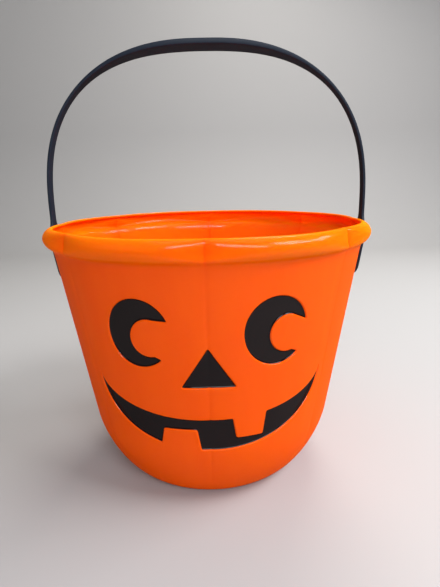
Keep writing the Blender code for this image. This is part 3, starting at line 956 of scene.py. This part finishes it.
def charcoal_polypropylene():
    """Charcoal polypropylene, injection moulded in a fine-blasted tool.

    The eye sees a dark blue-grey with a satin, faintly grainy sheen and light rubbing along it.
    """
    made, tree, shader = new_material("charcoal_polypropylene")
    place = add(tree, "ShaderNodeTexCoord", {}).outputs["Object"]
    grain_mm, rub_mm = 0.5, 6
    rub = add(tree, "ShaderNodeTexNoise", {"Vector": place, "Scale": 1000 / rub_mm, "Detail": 5.0})
    colour = add(
        tree,
        "ShaderNodeMix",
        {"Factor": rub.outputs["Fac"], 6: linear("#161E29"), 7: linear("#1F2734")},
        data_type="RGBA",
    )
    tree.links.new(colour.outputs[2], shader.inputs["Base Color"])
    gloss = add(
        tree,
        "ShaderNodeMapRange",
        {"Value": rub.outputs["Fac"], "From Min": 0.3, "From Max": 0.7, "To Min": 0.38, "To Max": 0.52},
    )
    tree.links.new(gloss.outputs["Result"], shader.inputs["Coat Roughness"])
    grain = add(tree, "ShaderNodeTexNoise", {"Vector": place, "Scale": 1000 / grain_mm, "Detail": 2.0})
    bump = add(
        tree, "ShaderNodeBump", {"Height": grain.outputs["Fac"], "Strength": 0.2, "Distance": 0.00005}
    )
    tree.links.new(bump.outputs["Normal"], shader.inputs["Normal"])
    shader.inputs["Specular IOR Level"].default_value = 0.0
    shader.inputs["Coat Weight"].default_value = 0.08
    shader.inputs["Coat IOR"].default_value = 2.5
    return made


def matt_laminate():
    """Matt laminate of the stage: pale, even and without gloss."""
    made, _, shader = new_material("matt_laminate")
    shader.inputs["Base Color"].default_value = linear("#ACAAA8")
    shader.inputs["Roughness"].default_value = 0.75
    shader.inputs["IOR"].default_value = 1.45
    return made


# Stage, light and camera


def make_stage():
    """A pale floor that bends up into a wall well behind the pail."""
    bend, wall, half, front = 0.35, 1.25, 3.0, -2.5
    profile = [(front, 0.0), (wall - bend, 0.0)]
    for turn in np.linspace(0, math.pi / 2, 13)[1:]:
        profile.append((wall - bend + bend * math.sin(turn), bend - bend * math.cos(turn)))
    profile.append((wall, 3.0))
    points = [(side * half, y, z) for y, z in profile for side in (-1, 1)]
    faces = [[2 * i, 2 * i + 1, 2 * i + 3, 2 * i + 2] for i in range(len(profile) - 1)]
    stage = mesh_object("stage", points, faces)
    stage.data.materials.append(matt_laminate())


def add_softbox(name, azimuth, elevation, distance, width, height, power, colour):
    """A soft area light that looks at the pail's middle. Azimuth 0 is in front and 90 on the right."""
    target = Vector((0.0, 0.0, 0.11))
    a, e = math.radians(azimuth), math.radians(elevation)
    back = Vector((math.sin(a) * math.cos(e), -math.cos(a) * math.cos(e), math.sin(e)))
    lamp = bpy.data.lights.new(name, "AREA")
    lamp.shape = "RECTANGLE"
    lamp.size, lamp.size_y = width, height
    lamp.energy = power
    lamp.color = linear(colour)[:3]
    obj = bpy.data.objects.new(name, lamp)
    obj.location = target + back * distance
    obj.rotation_mode = "QUATERNION"
    obj.rotation_quaternion = (-back).to_track_quat("-Z", "Y")
    bpy.context.scene.collection.objects.link(obj)


def make_lights():
    """Azimuth and elevation are in degrees, distance and size in metres, and power in watts."""
    add_softbox("window", 66, 45, 1.3, 0.6, 0.45, 14.0, "#FBFBFF")
    add_softbox("front_strip", 10, 34, 1.3, 0.9, 0.3, 11.0, "#F4F8FF")
    add_softbox("side_strip", 100, 34, 1.3, 0.5, 0.3, 7.0, "#F4F8FF")
    add_softbox("room", -60, 35, 1.6, 1.2, 1.0, 0.9, "#FFFAF4")
    add_softbox("ceiling", 0, 84, 1.4, 1.0, 1.0, 3.6, "#FFFDFA")
    add_softbox("back", 160, 50, 1.4, 0.6, 0.5, 11.0, "#FFFCF6")
    world = bpy.data.worlds.new("studio")
    world.use_nodes = True
    background = world.node_tree.nodes["Background"]
    background.inputs["Color"].default_value = linear("#F2F4F6")
    background.inputs["Strength"].default_value = 0.18
    bpy.context.scene.world = world


def make_camera():
    """The photograph's view: distances in metres, angles in degrees, focal length in its pixels."""
    azimuth, pitch, yaw, roll = (math.radians(angle) for angle in (1.1, 14.41, 1.39, -1.2))
    distance, height, focal, image_height = 0.3023, 0.1925, 440.75, 587
    forward = Vector((
        math.sin(yaw) * math.cos(pitch),
        math.cos(yaw) * math.cos(pitch),
        -math.sin(pitch),
    ))
    right = Vector((math.cos(yaw), -math.sin(yaw), 0.0))
    up = right.cross(forward)
    right, up = (
        math.cos(roll) * right + math.sin(roll) * up,
        math.cos(roll) * up - math.sin(roll) * right,
    )
    axes = Matrix((right, up, -forward)).transposed().to_4x4()
    camera = bpy.data.cameras.new("camera")
    camera.sensor_width = 36.0
    camera.lens = focal / image_height * camera.sensor_width
    camera.clip_start, camera.clip_end = 0.01, 20.0
    obj = bpy.data.objects.new("camera", camera)
    obj.matrix_world = Matrix.Rotation(azimuth, 4, "Z") @ Matrix.Translation((0.0, -distance, height)) @ axes
    bpy.context.scene.collection.objects.link(obj)
    bpy.context.scene.camera = obj


def dress(obj, finish, body, slot, *nodes):
    """Gives a piece its material and its body, and hides the solids that it stands for. The slot is not used.
    """
    obj.data.materials.clear()
    obj.data.materials.append(finish)
    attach(obj, body)
    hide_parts(*nodes)


make_camera()
pail, coats = make_pail()
dress(pail, injection_moulded_polypropylene(), "bucket", "orange_plastic", "bucket_shell")
enamel = gloss_enamel()
for feature, coat in coats.items():
    dress(coat, enamel, "bucket", "black_paint", feature + "_paint")
dress(make_strap(), charcoal_polypropylene(), "handle", "charcoal_plastic", "handle_strap")
make_stage()
make_lights()
bpy.context.scene.view_settings.view_transform = "Standard"
